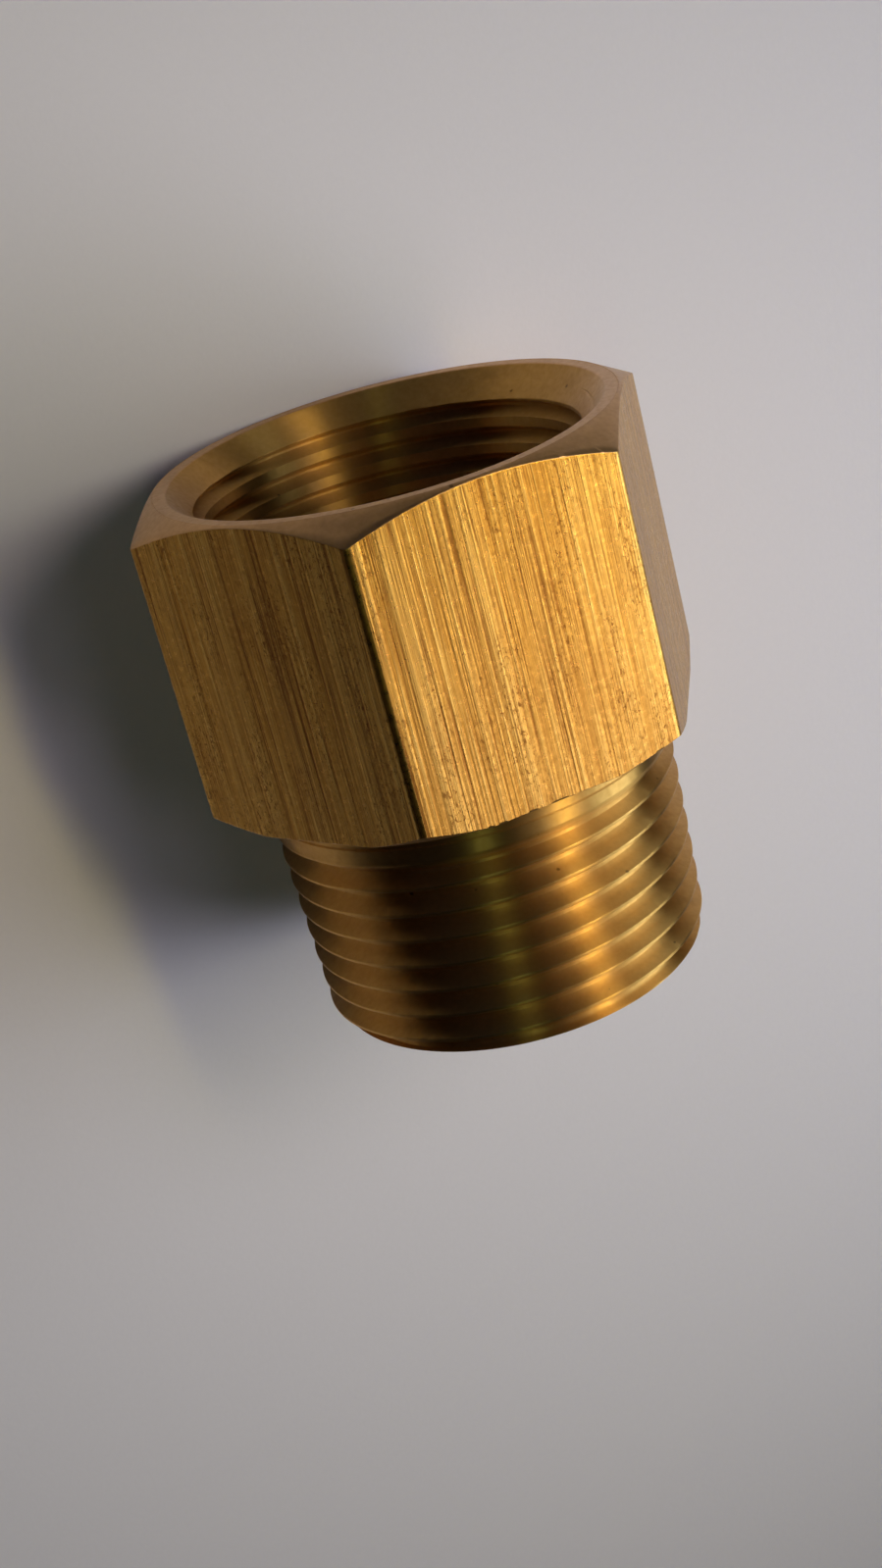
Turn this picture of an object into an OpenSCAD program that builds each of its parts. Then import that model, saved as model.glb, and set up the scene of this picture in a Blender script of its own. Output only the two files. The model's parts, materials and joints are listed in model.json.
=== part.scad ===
// Male by female pipe thread adapter, turned from one length of hexagonal brass bar.
// Millimetres. It lies on one flat of the hexagon, as such a fitting is put down on a bench.
// The origin is the middle of its footprint, +Z is up and both threads share an axis along Y:
// the female mouth faces -Y and the male end points to +Y. Two of the six flats face +Z and -Z.
// Each module draws the adapter as it stands in the lathe, turned about Z with the mouth up.

/* [Hexagon] */
// Width across the flats, the spanner size
hex_af = 38; // [37.5:0.5:42]
// Height of the hexagon, from the shoulder to the mouth
hex_h = 26; // [23:0.5:32]
// Radius on the six long edges of the drawn bar
corner_r = 0.7; // [0.4:0.1:1.2]
// Angle of the turned chamfers at both ends of the hexagon, measured from the end face
chamfer_angle = 30; // [20:1:35]
// Radius lost on the male side of the hexagon before its chamfer starts, beyond the flats
shoulder_over = 0.75; // [0.3:0.05:1.2]

/* [Pipe thread] */
// Axial distance between two neighbouring crests, 11 to the inch
thread_pitch = 2.309; // [2.2:0.001:2.4]
// Major diameter where the taper thread is gauged, and of the parallel thread everywhere
gauge_d = 33.249; // [33:0.001:33.4]
// Steps in one turn of each helix
thread_steps = 36; // [24:1:40]

/* [Male end] */
// Length from the end face to the shoulder under the hexagon
male_len = 20.8; // [20:0.1:24]
// Distance of the gauge plane from the end face
gauge_len = 10.4; // [8.1:0.1:12.7]
// Plain neck between the last groove and the shoulder
neck_len = 1.8; // [1.2:0.1:3]
// Length of the lead chamfer on the end face
lead_len = 0.8; // [0.4:0.1:1.2]
// Diameter of the flow passage
passage_d = 26; // [22:0.5:27]

/* [Female end] */
// Diameter of the countersunk mouth
mouth_d = 35.4; // [34.6:0.1:36]
// Bore before tapping, which leaves the flat crests of the female thread
bore_d = 30.85; // [30.3:0.05:30.9]
// Depth of the threaded socket below the mouth
socket_depth = 19.5; // [18:0.5:21]

/* [Hidden] */
$fn = 96;
taper = 1 / 32;                       // radius gained per length, the 1 in 16 pipe taper
flank_angle = 27.5;                   // half of the 55 degree thread angle
thread_depth = 0.640327 * thread_pitch;
flat_w = thread_pitch / 6;            // crest and root flats that stand for the small radii
gauge_r = gauge_d / 2;
minor_r = gauge_r - thread_depth;
bore_r = bore_d / 2;
runout = 0.8 * thread_pitch;          // length over which a groove fades away
total_h = male_len + hex_h;
corner_reach = (hex_af / 2 - corner_r) / cos(30);
end_land_r = 0.99 * hex_af / 2;       // outer edge of the flat ring round the mouth
shoulder_r = hex_af / 2 + shoulder_over;
neck_z = male_len - neck_len;
step_in = 0.05;                       // the neck stands this far inside the last crest's facets
neck_r = (gauge_r + (neck_z - gauge_len) * taper) * cos(180 / thread_steps) - step_in;
lead_r = gauge_r - gauge_len * taper;
sink = 0.3;                           // how far cutters pass through what they cut
over = 1;                             // spare length on cutters that leave the part

function clamp01(x) = min(1, max(0, x));

// Radii of the male thread at height z: its crests follow the taper, its roots fade out at the neck.
male_crest_r = function (z) gauge_r + (z - gauge_len) * taper;
male_root_r = function (z)
    male_crest_r(z) - thread_depth * clamp01((neck_z - thread_pitch / 3 - z) / runout);

// Radii of the tap that cuts the female thread: it fades out above the floor of the socket.
tap_crest_r = function (z)
    gauge_r - (thread_depth + sink) * (1 - clamp01((z - total_h + socket_depth) / runout - 0.5));
tap_root_r = function (z) minor_r - sink;

// A threaded rod as one closed solid. Every step of a right-hand helix has four points, two on the
// crest and two on the root. The turn above starts where the turn below ends. A fan closes each end.
module threaded_rod(z_low, z_high, crest_r, root_r, crest_w, root_w) {
    n = thread_steps;
    last = ceil((z_high - z_low) / thread_pitch) * n;
    lift = [-crest_w / 2, crest_w / 2, (thread_pitch - root_w) / 2, (thread_pitch + root_w) / 2];
    helix = [for (i = [0:last], q = [0:3])
        let (z = z_low + thread_pitch * i / n + lift[q])
        let (r = q < 2 ? crest_r(z) : root_r(z))
        [r * cos(360 * i / n), r * sin(360 * i / n), z]];
    low_end = len(helix);
    high_end = low_end + 1;
    ends = [[0, 0, z_low], [0, 0, helix[4 * last][2]]];
    // point q of step i; q = 4 is the first point one turn higher
    function at(i, q) = q < 4 ? 4 * i + q : 4 * (i + n);
    walls = [for (q = [0:3], i = [0:last - 1 - (q < 3 ? 0 : n)])
        for (half = [0, 1])
        half == 0 ? [at(i, q), at(i, q + 1), at(i + 1, q + 1)]
                  : [at(i, q), at(i + 1, q + 1), at(i + 1, q)]];
    low_loop = concat([for (i = [0:n]) at(i, 0)], [at(0, 3), at(0, 2), at(0, 1)]);
    high_loop = concat(
        [at(last - n, 3), at(last, 0), at(last, 1), at(last, 2)],
        [for (i = [last:-1:last - n + 1]) at(i, 3)]);
    function fan(loop, tip) =
        [for (i = [0:len(loop) - 1]) [loop[i], loop[(i + 1) % len(loop)], tip]];
    polyhedron(concat(helix, ends),
        concat(walls, fan(low_loop, low_end), fan(high_loop, high_end)), convexity = 20);
}

// The drawn bar: a hexagon with rounded long edges, corners on the Y axis.
module hex_bar(h) {
    arc_steps = 4;
    linear_extrude(h) polygon([for (side = [0:5], s = [0:arc_steps])
        let (corner = 30 + 60 * side)
        let (a = corner - 30 + 60 * s / arc_steps)
        [corner_reach * cos(corner) + corner_r * cos(a),
         corner_reach * sin(corner) + corner_r * sin(a)]]);
}

// What the lathe leaves of the bar: a cone takes the six corners off at each end.
module hexagon() {
    reach = hex_af;
    rise = tan(chamfer_angle);
    intersection() {
        translate([0, 0, male_len]) hex_bar(hex_h);
        rotate_extrude() polygon([
            [0, male_len],
            [shoulder_r, male_len],
            [reach, male_len + (reach - shoulder_r) * rise],
            [reach, total_h - (reach - end_land_r) * rise],
            [end_land_r, total_h],
            [0, total_h]]);
    }
}

module male_thread() {
    intersection() {
        threaded_rod(-2 * thread_pitch, male_len + 2 * thread_pitch,
            male_crest_r, male_root_r, flat_w, flat_w);
        rotate_extrude() polygon([
            [0, 0],
            [lead_r - lead_len, 0],
            [lead_r + over, lead_len + over],
            [lead_r + over, neck_z],
            [0, neck_z]]);
    }
    translate([0, 0, neck_z - sink]) cylinder(h = sink + neck_len + over, r = neck_r);
}

module socket_cut() {
    floor_z = total_h - socket_depth;
    root_w = flat_w - 2 * sink * tan(flank_angle);
    translate([0, 0, floor_z]) cylinder(h = socket_depth + over, r = bore_r);
    threaded_rod(total_h - 9.5 * thread_pitch, total_h + thread_pitch,
        tap_crest_r, tap_root_r, flat_w, root_w);
    // countersink at 45 degrees
    translate([0, 0, total_h - mouth_d / 2 + bore_r - sink])
        cylinder(h = mouth_d / 2 - bore_r + sink + over, r1 = bore_r - sink,
            r2 = mouth_d / 2 + over);
    // cone left by the drill between the socket and the passage
    translate([0, 0, floor_z - bore_r + passage_d / 2])
        cylinder(h = bore_r - passage_d / 2, r1 = passage_d / 2, r2 = bore_r);
}

// Puts what was turned about Z on the bench, on one flat. The half turn sets which flat that is.
module laid_on_flat() {
    translate([0, total_h / 2, hex_af / 2]) rotate([90, 0, 0]) rotate(180 - 30) children();
}

module adapter_body() {
    color([0.72, 0.53, 0.25]) laid_on_flat() difference() {
        union() {
            hexagon();
            male_thread();
        }
        translate([0, 0, -over]) cylinder(h = total_h, r = passage_d / 2);
        socket_cut();
    }
}

adapter_body();
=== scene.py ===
"""A brass pipe thread adapter lying on one flat of its hexagon, on pale paper.

The adapter is one turned piece, so it is one closed mesh. Its surface is worked out in the frame
of the lathe, in millimetres: Z is the thread axis, the male end face is at 0 and the mouth at the
top. lay_down() then puts it where the CAD model lies.
"""
import json
from math import ceil, cos, floor, pi, radians, sin, tan

import bmesh
import bpy
import numpy as np
from mathutils import Matrix, Vector


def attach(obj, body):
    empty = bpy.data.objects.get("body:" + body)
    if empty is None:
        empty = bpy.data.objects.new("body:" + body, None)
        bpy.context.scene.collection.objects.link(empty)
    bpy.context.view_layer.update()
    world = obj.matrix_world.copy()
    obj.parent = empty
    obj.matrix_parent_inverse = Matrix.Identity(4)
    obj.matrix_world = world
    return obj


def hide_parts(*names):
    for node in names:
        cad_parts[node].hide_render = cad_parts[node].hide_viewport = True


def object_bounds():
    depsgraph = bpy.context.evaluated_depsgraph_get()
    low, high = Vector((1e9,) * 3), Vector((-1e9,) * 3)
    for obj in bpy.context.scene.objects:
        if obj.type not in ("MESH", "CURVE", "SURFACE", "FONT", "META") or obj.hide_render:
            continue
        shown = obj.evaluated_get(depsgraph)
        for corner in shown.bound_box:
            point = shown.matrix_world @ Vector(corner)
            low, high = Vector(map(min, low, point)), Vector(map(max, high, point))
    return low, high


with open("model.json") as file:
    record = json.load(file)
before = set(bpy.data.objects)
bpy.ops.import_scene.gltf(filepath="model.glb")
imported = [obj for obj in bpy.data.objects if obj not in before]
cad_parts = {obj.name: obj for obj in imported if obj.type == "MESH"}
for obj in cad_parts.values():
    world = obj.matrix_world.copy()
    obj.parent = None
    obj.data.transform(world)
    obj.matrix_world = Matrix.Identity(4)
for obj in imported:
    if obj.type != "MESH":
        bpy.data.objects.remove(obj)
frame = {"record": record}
cad_low, cad_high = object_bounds()

# ---- sizes, in millimetres -------------------------------------------------------------------
MM = 0.001
MOUNTS = {m["name"]: m for m in frame["record"]["mounts"]}

# the hexagon
LENGTH = (cad_high.y - cad_low.y) / MM
HALF_AF = (cad_high.z - cad_low.z) / MM / 2   # half the width across the flats
CORNER_R = 0.7               # radius on the long edges of the drawn bar
SHOULDER_R = HALF_AF + 0.75  # where the chamfer behind the hexagon starts
RING_R = 0.99 * HALF_AF      # outer edge of the flat ring round the mouth
CHAMFER_RISE = tan(radians(30))

# the 1 inch pipe thread, 11 to the inch
PITCH = 2.309
GAUGE_R = 33.249 / 2         # major radius of the taper thread at GAUGE_Z, and of the parallel one
GAUGE_Z = 10.4
TAPER = 1 / 32               # radius gained per length
FLANK = radians(27.5)
THREAD_DEPTH = 0.640327 * PITCH
RUNOUT = 0.8 * PITCH         # length over which a groove fades away
LAND = 0.22                  # width of the flat crest
CREST_WEAR = 0.05            # radius worn on the edges of each crest
ROOT_ROUND = ((PITCH - LAND) / 2 / tan(FLANK) - THREAD_DEPTH) * sin(FLANK) / (1 - sin(FLANK))
LAND_END = LAND / 2 - CREST_WEAR * tan(radians(45) - FLANK / 2)
EDGE_END = LAND_END + CREST_WEAR * cos(FLANK)
ROOT_START = ROOT_ROUND * cos(FLANK)

# the male end
MALE_LEN = 20.8              # from the end face to the shoulder
NECK_Z = 19.0                # where the male thread ends and the plain neck starts
NECK_STEP = 0.12             # how far the neck stands inside the last crest
NECK_FILLET = 0.35           # radius between the neck and the shoulder
LEAD_LEN = 0.8               # length of the chamfer on the end face
LEAD_R = GAUGE_R - GAUGE_Z * TAPER
LEAD_END = 0.99              # just past the chamfer, where the rows start to follow the helix
PASSAGE_R = 13.0

# the female end
MOUTH_R = 17.7               # outer edge of the countersink
BORE_R = MOUNTS["female_thread"]["dims"]["r_mm"]
FLOOR_Z = LENGTH - 19.5      # floor of the socket
FADED_Z = FLOOR_Z + 0.6      # where the female thread has faded into the plain bore

# wear
EDGE = 0.05                  # half width of the worn strip along an edge
CREST_NICK = 0.05            # depth of the nicks in the male crests

# ---- columns round the axis ------------------------------------------------------------------
COARSE_PER_SIDE = 48
SPLIT = 3                    # fine columns, on the hexagon, in one coarse one
CROWD = 0.35                 # how far the columns crowd towards the corners


def column_angles(per_side):
    """Azimuths of the columns of the mesh, from one corner of the hexagon round to it again."""
    u = np.linspace(-1, 1, per_side, endpoint=False)
    side = 30 * u * (1 + CROWD * (1 - u * u))
    return np.radians(np.concatenate([60 * s + side for s in range(6)]))


COARSE = column_angles(COARSE_PER_SIDE)
FINE = column_angles(COARSE_PER_SIDE * SPLIT)


def from_flat(angle):
    """Azimuth measured from the middle of the nearest flat, between -30 and 30 degrees."""
    return (angle + pi / 6) % (pi / 3) - pi / 6


def hex_radius(angle):
    """Distance from the axis to the drawn bar, whose long edges are rounded."""
    d = np.abs(from_flat(angle))
    flat = HALF_AF / np.cos(d)
    centre = (HALF_AF - CORNER_R) / cos(pi / 6)
    e = pi / 6 - d
    arc = centre * np.cos(e) + np.sqrt(np.maximum(CORNER_R**2 - (centre * np.sin(e)) ** 2, 0))
    on_flat = HALF_AF * np.tan(d) <= (HALF_AF - CORNER_R) * tan(pi / 6)
    return np.where(on_flat, flat, arc)


# ---- smooth random numbers, the same on every run ----------------------------------------------
def ripple(x, seed, octaves=3):
    """A smooth random curve between about -1 and 1 with one wave per unit of x."""
    x = np.asarray(x, float)
    total, size = np.zeros_like(x), 0.0
    for k in range(octaves):
        rng = np.random.default_rng(seed * 31 + k)
        knots = rng.uniform(-1, 1, 1024)
        at = x * 2**k
        low = np.floor(at).astype(int)
        t = at - low
        t = t * t * (3 - 2 * t)
        total += (knots[low % 1024] * (1 - t) + knots[(low + 1) % 1024] * t) / 2**k
        size += 1 / 2**k
    return total / size


# ---- the thread form ---------------------------------------------------------------------------
def thread_dip(turns):
    """Depth below the crest of the 55 degree pipe thread: flat crests with worn edges, round roots."""
    q = np.abs((turns + 0.5) % 1 - 0.5) * PITCH
    edge_q = np.clip(q, LAND_END, EDGE_END) - LAND_END
    crest = CREST_WEAR - np.sqrt(CREST_WEAR**2 - edge_q**2)
    root_q = np.minimum(PITCH / 2 - q, ROOT_START)
    root = THREAD_DEPTH - ROOT_ROUND + np.sqrt(np.maximum(ROOT_ROUND**2 - root_q**2, 0))
    flank = (q - LAND / 2) / tan(FLANK)
    return np.where(q < EDGE_END, crest, np.where(q > PITCH / 2 - ROOT_START, root, flank))


def male_radius(z, angle):
    """The taper thread: its grooves fade out at the neck and its crests have small nicks."""
    turns = z / PITCH - angle / (2 * pi)
    crest = GAUGE_R + (z - GAUGE_Z) * TAPER
    fade = np.clip((NECK_Z - PITCH / 3 - z) / RUNOUT, 0, 1)
    lead = LEAD_R - LEAD_LEN + z
    dip = thread_dip(turns)
    along = (z / PITCH + angle / (2 * pi)) * 40
    nick = CREST_NICK * np.maximum(ripple(along, 21) - 0.25, 0) * (dip < 0.12) * fade
    return np.minimum(crest - dip * fade - nick, lead)


def female_radius(z, angle):
    """What the tap, the bore and the countersink leave, whichever is widest."""
    turns = (z - LENGTH) / PITCH - angle / (2 * pi) + 0.5
    fade = 1 - np.clip((z - FLOOR_Z) / RUNOUT - 0.5, 0, 1)
    tap = GAUGE_R - thread_dip(turns) - (THREAD_DEPTH + 0.3) * fade
    countersink = MOUTH_R - (LENGTH - z)
    return np.maximum(np.maximum(tap, BORE_R), countersink)


def both_sides(*distances):
    """Rows at these distances from the middle of a crest, on both sides, as parts of a turn."""
    return [side * d / PITCH for side in (-1, 1) for d in distances]


# Rows of the mesh in one turn of each helix: close together where the thread form bends.
# The tap's crests are the roots of the female thread, whose own crests the bore leaves flat.
LAND_EDGE = LAND / 2 + (GAUGE_R - BORE_R) * tan(FLANK)
MALE_PHASES = both_sides(LAND_END, (LAND_END + EDGE_END) / 2 + 0.015, EDGE_END, PITCH / 4,
                         PITCH / 2 - ROOT_START, PITCH / 2 - ROOT_START * 0.4)
FEMALE_PHASES = both_sides(LAND_END, (LAND_END + EDGE_END) / 2, EDGE_END, PITCH / 4.4,
                           LAND_EDGE, LAND_EDGE + 0.04)


# ---- the mesh --------------------------------------------------------------------------------
class Skin:
    """Bands of quads between rings of points, in the frame of the lathe."""

    def __init__(self):
        self.points, self.faces, self.slots, self.count = [], [], [], 0

    def add_points(self, angle, r, z):
        """Rows of points, one row of r and z for each ring. Returns their numbers in rows."""
        r, z = np.broadcast_arrays(r, z)
        self.points.append(np.stack([r * np.cos(angle), r * np.sin(angle), z], -1).reshape(-1, 3))
        numbers = np.arange(r.size).reshape(r.shape) + self.count
        self.count += r.size
        return numbers

    def band(self, angle, r, z, slot, climb=0):
        """Quads between neighbouring rows. climb is how many rows a helix rises in one turn."""
        rows = self.add_points(angle, r, z)
        last = len(rows) - 1
        for j in range(last):
            here, above = rows[j], rows[j + 1]
            far = np.append(here[1:], rows[min(max(j + climb, 0), last)][0])
            far_above = np.append(above[1:], rows[min(max(j + 1 + climb, 0), last)][0])
            self.faces += np.stack([here, far, far_above, above], -1).tolist()
            self.slots += [slot] * len(here)
        return rows

    def stitch(self, coarse, fine, slot, fine_outside):
        """Flat faces between a coarse ring and one with SPLIT times its points."""
        n = len(coarse)
        for i in range(n):
            inner = [coarse[i], coarse[(i + 1) % n]]
            outer = [fine[(i * SPLIT + k) % len(fine)] for k in range(SPLIT, -1, -1)]
            ring = [int(v) for v in inner + outer]
            self.faces.append(ring if fine_outside else ring[::-1])
            self.slots.append(slot)


def rings(angle, profile):
    """Rows for round rings, from a list of (r, z)."""
    r = np.array([np.full(len(angle), p[0]) for p in profile])
    z = np.array([np.full(len(angle), p[1]) for p in profile])
    return r, z


def helix_rows(z_low, z_high, phases, shift):
    """Heights of the rows that follow a helix, clamped to z_low and z_high, lowest row first."""
    lead = COARSE / (2 * pi)
    first = floor((z_low - shift) / PITCH - lead[0]) - 2
    last = ceil((z_high - shift) / PITCH - lead[0]) + 2
    turns = np.array([k + f for k in range(first, last) for f in sorted(phases)])
    return np.clip(shift + PITCH * (turns[:, None] + lead), z_low, z_high)


FACES, DRAWN, THREAD, BORE = range(4)   # material slots: turned faces, flats, male thread, inside


def male_side(skin):
    """End face, lead chamfer, thread, neck and the inner part of the shoulder."""
    face = [(PASSAGE_R, 0.15), (PASSAGE_R + 0.04, 0.04), (PASSAGE_R + 0.15, 0), (PASSAGE_R + 1.3, 0)]
    r, z = rings(COARSE, face + [(LEAD_R - LEAD_LEN - 0.04, 0), (LEAD_R, EDGE)])
    # The last ring is where the helix cuts the chamfer, so that it meets the thread below.
    z[-1] = EDGE
    r[-1] = male_radius(z[-1], COARSE)
    skin.band(COARSE, r, z, FACES)
    z = np.linspace(EDGE, LEAD_END, 17)[:, None] + 0 * COARSE
    skin.band(COARSE, male_radius(z, COARSE), z, THREAD)
    z = helix_rows(LEAD_END, NECK_Z, MALE_PHASES, 0)
    skin.band(COARSE, male_radius(z, COARSE), z, THREAD, climb=len(MALE_PHASES))
    top_r = float(male_radius(np.array(NECK_Z), np.array(0.0)))
    neck_r = top_r - NECK_STEP
    fillet_z = MALE_LEN - NECK_FILLET
    neck = [(top_r, NECK_Z), (neck_r, NECK_Z + NECK_STEP), (neck_r, fillet_z)]
    neck += [(neck_r + NECK_FILLET * (1 - cos(a)), fillet_z + NECK_FILLET * sin(a))
             for a in np.radians([22.5, 45, 67.5, 90])]
    return skin.band(COARSE, *rings(COARSE, neck), THREAD)[-1]


def hexagon_side(skin):
    """Shoulder, both chamfers, the six flats and the outer part of the ring round the mouth."""
    radius = hex_radius(FINE)
    level = np.zeros_like(FINE)
    low_cone = MALE_LEN + np.maximum(radius - SHOULDER_R, 0) * CHAMFER_RISE
    high_cone = LENGTH - np.maximum(radius - RING_R, 0) * CHAMFER_RISE
    # Both ends of every flat are a little wavy, where the chamfers broke through the drawn surface.
    arc = FINE * HALF_AF
    low_z = low_cone + EDGE + 0.10 * np.maximum(ripple(arc * 1.1, 5), 0) ** 2 + 0.03 * ripple(arc * 3, 6)
    high_z = high_cone - EDGE - 0.08 * np.maximum(ripple(arc * 1.3, 7), 0) ** 2 - 0.02 * ripple(arc * 3, 8)
    shoulder = np.minimum(radius, SHOULDER_R) - EDGE
    rows = [(shoulder - 0.12, MALE_LEN + level), (shoulder, MALE_LEN + level)]
    rows += [(radius - EDGE * cos(pi / 6), low_cone + 0.012)]
    rows += [(radius, low_z)]
    for share in (0.004, 0.25, 0.5, 0.75, 0.996):
        rows += [(radius, low_z + (high_z - low_z) * share)]
    rows += [(radius, high_z)]
    inward = np.minimum(EDGE, (radius - RING_R) * 0.4)
    rows += [(radius - inward, high_cone + inward * CHAMFER_RISE)]
    for share in (0.66, 0.33):
        rows += [(RING_R + (radius - RING_R) * share, LENGTH + (high_cone - LENGTH) * share)]
    rows += [(RING_R + 0.03 + level, LENGTH - 0.03 * CHAMFER_RISE + level)]
    # a fine groove just inside the outer edge of the ring
    for inside, depth in ((0.03, 0), (0.07, 0.04), (0.11, 0), (0.16, 0)):
        rows += [(RING_R - inside + level, LENGTH - depth + level)]
    r = np.array([p[0] for p in rows])
    z = np.array([p[1] for p in rows])
    shoulder_rows = skin.band(FINE, r[:4], z[:4], FACES)
    skin.band(FINE, r[3:10], z[3:10], DRAWN)
    mouth_rows = skin.band(FINE, r[9:], z[9:], FACES)
    return shoulder_rows[0], mouth_rows[-1]


def bore_side(skin):
    """Inner part of the ring round the mouth, countersink, female thread and passage."""
    lip = [(MOUTH_R + 0.25, LENGTH), (MOUTH_R + 0.05, LENGTH), (MOUTH_R, LENGTH - 0.02),
           (MOUTH_R - 0.05, LENGTH - 0.07), (MOUTH_R - 0.55, LENGTH - 0.55)]
    deep = LENGTH - (MOUTH_R - GAUGE_R) + 0.05
    start = skin.band(COARSE, *rings(COARSE, lip[:4]), FACES)[0]
    sink = lip[3:] + [(MOUTH_R - (LENGTH - deep), deep)]
    skin.band(COARSE, *rings(COARSE, sink), BORE)
    shallow_end = LENGTH - (MOUTH_R - BORE_R) - 0.1
    z = np.linspace(deep, shallow_end, 26)[:, None] + 0 * COARSE
    skin.band(COARSE, female_radius(z, COARSE), z, BORE)
    z = helix_rows(FADED_Z, shallow_end, FEMALE_PHASES, LENGTH - PITCH / 2)[::-1]
    skin.band(COARSE, female_radius(z, COARSE), z, BORE, climb=-len(FEMALE_PHASES))
    cone_end = FLOOR_Z - (BORE_R - PASSAGE_R)
    passage = [(BORE_R, FADED_Z), (BORE_R, FLOOR_Z + 0.05), (BORE_R - 0.04, FLOOR_Z - 0.04),
               (PASSAGE_R + 0.06, cone_end + 0.06), (PASSAGE_R, cone_end - 0.06)]
    passage += [(PASSAGE_R, z) for z in (20, 15, 10, 5, 0.15)]
    skin.band(COARSE, *rings(COARSE, passage), BORE)
    return start


def lay_down():
    """From the lathe's frame, in millimetres, to the row frame, in metres."""
    lift = Matrix.Translation((0, LENGTH / 2 * MM, HALF_AF * MM))
    turn = Matrix.Rotation(radians(90), 4, "X") @ Matrix.Rotation(radians(150), 4, "Z")
    return lift @ turn @ Matrix.Scale(MM, 4)


def adapter_mesh():
    """The whole adapter as one closed mesh, with smooth faces and sharp edges."""
    skin = Skin()
    neck = male_side(skin)
    shoulder, ring = hexagon_side(skin)
    lip = bore_side(skin)
    skin.stitch(neck, shoulder, FACES, True)
    skin.stitch(lip, ring, FACES, False)
    mesh = bpy.data.meshes.new("adapter_skin")
    mesh.from_pydata(np.concatenate(skin.points).tolist(), [], skin.faces)
    mesh.polygons.foreach_set("material_index", np.array(skin.slots, np.int32))
    mesh.transform(lay_down())
    bm = bmesh.new()
    bm.from_mesh(mesh)
    bmesh.ops.remove_doubles(bm, verts=bm.verts, dist=2e-4 * MM)
    bmesh.ops.dissolve_degenerate(bm, dist=1e-4 * MM, edges=bm.edges)
    bmesh.ops.triangulate(bm, faces=[f for f in bm.faces if len(f.verts) > 4])
    bm.to_mesh(mesh)
    bm.free()
    mesh.shade_smooth()
    mesh.set_sharp_from_angle(angle=radians(38))
    return mesh


# ---- materials -------------------------------------------------------------------------------
class Tree:
    """A few short calls for building a node tree."""

    def __init__(self, name):
        self.material = bpy.data.materials.new(name)
        self.material.use_nodes = True
        self.tree = self.material.node_tree
        self.shader = self.tree.nodes["Principled BSDF"]

    def node(self, kind, inputs=None, **settings):
        """A new node. An input is a number, a colour or the output of another node."""
        n = self.tree.nodes.new("ShaderNode" + kind)
        for key, value in settings.items():
            setattr(n, key, value)
        for key, value in (inputs or {}).items():
            self.put(n.inputs[key], value)
        return n

    def put(self, socket, value):
        if isinstance(value, bpy.types.NodeSocket):
            self.tree.links.new(value, socket)
        else:
            socket.default_value = value

    def math(self, operation, a, b=0.0, clamp=False):
        return self.node("Math", {0: a, 1: b}, operation=operation, use_clamp=clamp).outputs[0]

    def blend(self, share, a, b):
        """Colour a where share is 0 and b where it is 1."""
        return self.node("Mix", {0: share, 6: a, 7: b}, data_type="RGBA").outputs[2]

    def noise(self, vector, scale=1.0, detail=3.0, roughness=0.5, distortion=0.0):
        return self.node("TexNoise", {"Vector": vector, "Scale": scale, "Detail": detail,
                                      "Roughness": roughness, "Distortion": distortion}).outputs[0]

    def ramp(self, value, low, high, to_low=0.0, to_high=1.0):
        return self.node("MapRange", {0: value, 1: low, 2: high, 3: to_low, 4: to_high}).outputs[0]

    def stretched(self, vector, x, y, z):
        return self.node("VectorMath", {0: vector, 1: (x, y, z)}, operation="MULTIPLY").outputs[0]


def millimetres(t):
    """Object coordinates in millimetres, and the same as (arc round the axis, along it, radius)."""
    place = t.node("TexCoord").outputs["Object"]
    mm = t.stretched(place, 1 / MM, 1 / MM, 1 / MM)
    part = t.node("SeparateXYZ", {0: mm}).outputs
    x, y = part[0], part[1]
    z = t.math("SUBTRACT", part[2], HALF_AF)
    radius = t.math("SQRT", t.math("ADD", t.math("MULTIPLY", x, x), t.math("MULTIPLY", z, z)))
    arc = t.math("MULTIPLY", t.math("ARCTAN2", x, z), GAUGE_R)
    turned = t.node("CombineXYZ", {0: arc, 1: y, 2: radius}).outputs[0]
    return mm, turned


def brass(name, colour, dull, rough):
    """The start of every brass: metal, its colour with slow patches of tarnish, and its finish."""
    t = Tree(name)
    mm, turned = millimetres(t)
    patches = t.noise(mm, 0.25, 4, 0.6)
    fine = t.noise(mm, 2.0, 3, 0.6)
    both = t.math("ADD", t.math("MULTIPLY", patches, 0.5), t.math("MULTIPLY", fine, 0.5))
    t.colour = t.blend(t.ramp(both, 0.35, 0.65), (*colour, 1), (*dull, 1))
    t.rough = t.ramp(fine, 0.3, 0.7, rough - 0.05, rough + 0.06)
    t.put(t.shader.inputs["Metallic"], 1.0)
    return t, mm, turned


def brushed(t, strength, rotation=0.0):
    """Marks along the bar spread a reflection round it. A quarter turn is for marks that run round it."""
    t.put(t.shader.inputs["Anisotropic"], strength)
    t.put(t.shader.inputs["Anisotropic Rotation"], rotation)
    t.put(t.shader.inputs["Tangent"],
          t.node("Tangent", direction_type="RADIAL", axis="Y").outputs[0])


def finish(t, height, distance, strength=1.0):
    """Links colour, roughness and a relief of this many millimetres, and returns the material."""
    t.put(t.shader.inputs["Base Color"], t.colour)
    t.put(t.shader.inputs["Roughness"], t.rough)
    bump = t.node("Bump", {"Strength": strength, "Distance": distance * MM, "Height": height})
    t.put(t.shader.inputs["Normal"], bump.outputs[0])
    return t.material


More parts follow.
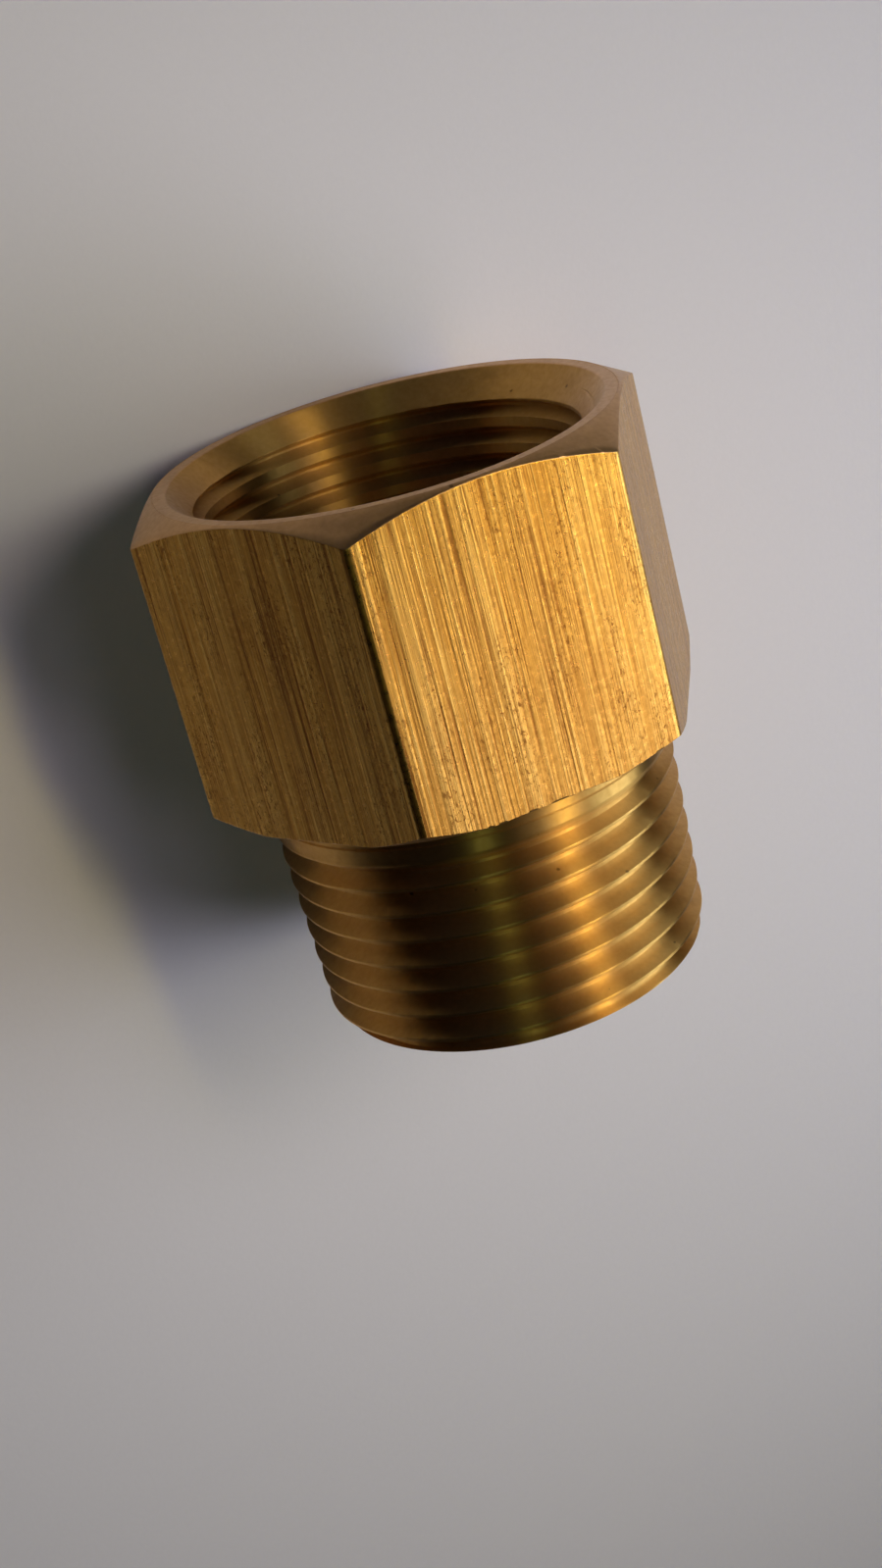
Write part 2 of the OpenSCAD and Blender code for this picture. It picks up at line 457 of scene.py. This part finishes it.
def drawn_brass():
    """The flats as the drawing die left them: lines along the bar, pits and mottled wear. Painted
    highlights lighten some of the lines and painted glints dot the worn patches.
    """
    painted_line_highlight, paler, painted_glint_colour = (0.82, 0.52, 0.14, 1), (0.70, 0.41, 0.10, 1), (0.90, 0.66, 0.22, 1)
    brown, rust, stain_brown = (0.20, 0.070, 0.012, 1), (0.26, 0.10, 0.02, 1), (0.19, 0.07, 0.013, 1)
    t, mm, _ = brass("brass_drawn", (0.59, 0.30, 0.054), (0.49, 0.23, 0.038), 0.30)
    broad = t.noise(t.stretched(mm, 0.45, 0.01, 0.45), 1, 2, 0.5)
    lines = t.noise(t.stretched(mm, 2.6, 0.03, 2.6), 1, 5, 0.72)
    grooves = t.noise(t.stretched(mm, 2.6, 0.03, 2.6), 1, 2, 0.72)
    hairs = t.noise(t.stretched(mm, 11, 0.10, 11), 1, 2, 0.6)
    mottle = t.noise(t.stretched(mm, 1, 0.5, 1), 4.2, 4, 0.7, 0.8)
    wear_and_glint_patches = t.ramp(t.noise(t.stretched(mm, 1, 0.25, 1), 0.45, 3), 0.40, 0.60)
    # painted highlight: the pale colour on the die lines stands in for the light that they catch
    t.colour = t.blend(t.math("MULTIPLY", t.ramp(lines, 0.52, 0.62), 0.6), t.colour, painted_line_highlight)
    t.colour = t.blend(t.math("MULTIPLY", t.ramp(broad, 0.42, 0.62), 0.45), t.colour, paler)
    t.colour = t.blend(t.math("MULTIPLY", t.ramp(lines, 0.37, 0.46, 1, 0), 0.85), t.colour, brown)
    t.colour = t.blend(t.math("MULTIPLY", t.ramp(hairs, 0.40, 0.48, 1, 0), 0.5), t.colour, rust)
    stain = t.math("MULTIPLY", t.ramp(mottle, 0.38, 0.46, 1, 0), wear_and_glint_patches)
    t.colour = t.blend(t.math("MULTIPLY", stain, 0.85), t.colour, stain_brown)
    # painted glints: bright spots of colour in the worn patches stand in for highlights, they are not a
    # real shine
    painted_glint = t.math("MULTIPLY", t.ramp(mottle, 0.56, 0.66), wear_and_glint_patches)
    t.colour = t.blend(t.math("MULTIPLY", painted_glint, 0.15), t.colour, painted_glint_colour)
    height = t.math("ADD", t.math("MULTIPLY", broad, 2.0), t.math("MULTIPLY", grooves, 1.3))
    brushed(t, 0.5)
    return finish(t, height, 0.03)


def turned_brass(name, colour, dull, rough, strength, distance=0.006):
    """A surface cut on the lathe, with fine marks round the axis and a few dark specks."""
    t, mm, turned = brass(name, colour, dull, rough)
    marks = t.noise(t.stretched(turned, 0.04, 5, 5), 1, 2, 0.5)
    specks = t.node("TexVoronoi", {"Vector": mm, "Scale": 0.5}).outputs["Distance"]
    speck = t.math("MULTIPLY", t.ramp(specks, 0.05, 0.10, 1, 0), t.ramp(t.noise(mm, 0.8, 2), 0.52, 0.56))
    dark = (0.16, 0.08, 0.03, 1)
    t.colour = t.blend(t.math("MULTIPLY", speck, 0.75), t.colour, dark)
    height = t.math("SUBTRACT", t.math("MULTIPLY", marks, 0.8), speck)
    brushed(t, strength, 0.25)
    return finish(t, height, distance)


def paper():
    """Pale paper with a faint grain."""
    t = Tree("paper")
    mm = t.stretched(t.node("TexCoord").outputs["Object"], 1 / MM, 1 / MM, 1 / MM)
    grain = t.noise(mm, 1.6, 4, 0.6)
    t.colour = t.blend(grain, (0.84, 0.78, 0.88, 1), (0.87, 0.81, 0.91, 1))
    t.rough = 0.9
    return finish(t, grain, 0.05, 0.3)


# ---- the adapter -----------------------------------------------------------------------------
mesh = adapter_mesh()
# in the order of FACES, DRAWN, THREAD, BORE
for m in (turned_brass("brass_faced", (0.60, 0.345, 0.15), (0.52, 0.295, 0.12), 0.40, 0.5),
          drawn_brass(),
          turned_brass("brass_thread", (0.66, 0.38, 0.11), (0.60, 0.335, 0.09), 0.43, 0.98, 0.002),
          turned_brass("brass_bore", (0.58, 0.325, 0.09), (0.52, 0.285, 0.07), 0.42, 0.98, 0.002)):
    mesh.materials.append(m)
adapter = bpy.data.objects.new("adapter", mesh)
bpy.context.scene.collection.objects.link(adapter)
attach(adapter, "root")
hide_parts("adapter_body")

# ---- floor, light and camera -----------------------------------------------------------------
def floor_sheet(size):
    """A square sheet of paper under the adapter, size in metres."""
    mesh = bpy.data.meshes.new("paper_sheet")
    bm = bmesh.new()
    bmesh.ops.create_grid(bm, x_segments=1, y_segments=1, size=size / 2)
    bm.to_mesh(mesh)
    bm.free()
    mesh.materials.append(paper())
    sheet = bpy.data.objects.new("floor", mesh)
    bpy.context.scene.collection.objects.link(sheet)
    return sheet


def soft_light(name, towards, distance, tall, wide, watts, colour, spread):
    """An area light that shines at the adapter from a direction in the row frame.

    distance, tall (across the thread axis) and wide (along it) are in metres, spread in degrees.
    """
    data = bpy.data.lights.new(name, "AREA")
    data.shape = "ELLIPSE"
    data.size = tall
    data.size_y = wide
    data.energy = watts
    data.color = colour
    data.spread = radians(spread)
    lamp = bpy.data.objects.new(name, data)
    back = Vector(towards).normalized()
    lamp.location = Vector((0, 0, HALF_AF * MM)) + back * distance
    lamp.rotation_euler = back.to_track_quat("Z", "X").to_euler()
    bpy.context.scene.collection.objects.link(lamp)
    return lamp


def room(colour, glow, towards, width):
    """A dim room of one colour, with a soft glow up to width degrees round one direction."""
    world = bpy.data.worlds.new("room")
    world.use_nodes = True
    nodes, links = world.node_tree.nodes, world.node_tree.links
    place = nodes.new("ShaderNodeTexCoord")
    facing = nodes.new("ShaderNodeVectorMath")
    facing.operation = "DOT_PRODUCT"
    facing.inputs[1].default_value = Vector(towards).normalized()
    fall = nodes.new("ShaderNodeMapRange")
    fall.interpolation_type = "SMOOTHSTEP"
    fall.inputs[1].default_value = cos(radians(width))
    fall.inputs[2].default_value = 1.0
    mix = nodes.new("ShaderNodeMix")
    mix.data_type = "RGBA"
    mix.inputs[6].default_value = (*colour, 1)
    mix.inputs[7].default_value = (*glow, 1)
    links.new(place.outputs["Generated"], facing.inputs[0])
    links.new(facing.outputs["Value"], fall.inputs[0])
    links.new(fall.outputs[0], mix.inputs[0])
    links.new(mix.outputs[2], nodes["Background"].inputs["Color"])
    bpy.context.scene.world = world


def camera(azimuth, elevation, roll, distance, aim, lens):
    """Looks at aim from a direction. roll turns the picture. distance and aim are in millimetres."""
    a, e, r = radians(azimuth), radians(elevation), radians(roll)
    back = Vector((sin(a) * cos(e), -cos(a) * cos(e), sin(e)))
    level = Vector((cos(a), sin(a), 0))
    right = cos(r) * level + sin(r) * back.cross(level)
    up = back.cross(right)
    data = bpy.data.cameras.new("camera")
    data.lens = lens
    data.clip_start = 0.005
    data.clip_end = 20
    cam = bpy.data.objects.new("camera", data)
    axes = Matrix((right, up, back)).transposed().to_4x4()
    cam.matrix_world = Matrix.Translation((Vector(aim) + back * distance) * MM) @ axes
    bpy.context.scene.collection.objects.link(cam)
    bpy.context.scene.camera = cam


floor_sheet(4.0)
WARM, COOL, GOLD, GREEN = (1.0, 0.93, 1.0), (0.80, 0.92, 1.0), (1.0, 0.86, 0.10), (0.72, 1.0, 0.50)
NEAR, FAR = 0.32, 0.6   # distances of the lamps from the adapter
# Warm lamps overhead and a cool window low on the same side: together one broad soft light.
# lamp_tube gives the gold streak on the thread and far_tube the green one.
soft_light("lamp_high", (-0.13, -0.1, 1), NEAR, 0.08, 0.16, 0.0045, WARM, 70)
soft_light("lamp_front", (-0.5, -0.4, 1), NEAR, 0.11, 0.16, 0.022, WARM, 70)
soft_light("lamp_back", (-0.5, 0.4, 1), NEAR, 0.11, 0.16, 0.018, WARM, 70)
soft_light("lamp_tube", (-0.45, -0.1, 1), NEAR, 0.020, 0.30, 0.029, GOLD, 70)
soft_light("window", (-1.2, -0.2, 1), NEAR, 0.13, 0.18, 0.026, COOL, 70)
soft_light("window_low", (-2.2, 0.4, 1), NEAR, 0.12, 0.18, 0.046, COOL, 70)
soft_light("window_back", (-1.4, 0.9, 1), NEAR, 0.12, 0.12, 0.017, COOL, 70)
soft_light("far_tube", (0.37, -0.1, 1.0), FAR, 0.006, 0.50, 0.015, GREEN, 60)
room((0.004, 0.004, 0.004), (0.028, 0.036, 0.070), (0.37, -0.6, 0.7), 50)
camera(azimuth=35.572, elevation=62.154, roll=126.108, distance=204.85,
       aim=(0.752, 8.709, 12.456), lens=54.87)
bpy.context.scene.view_settings.view_transform = "Standard"
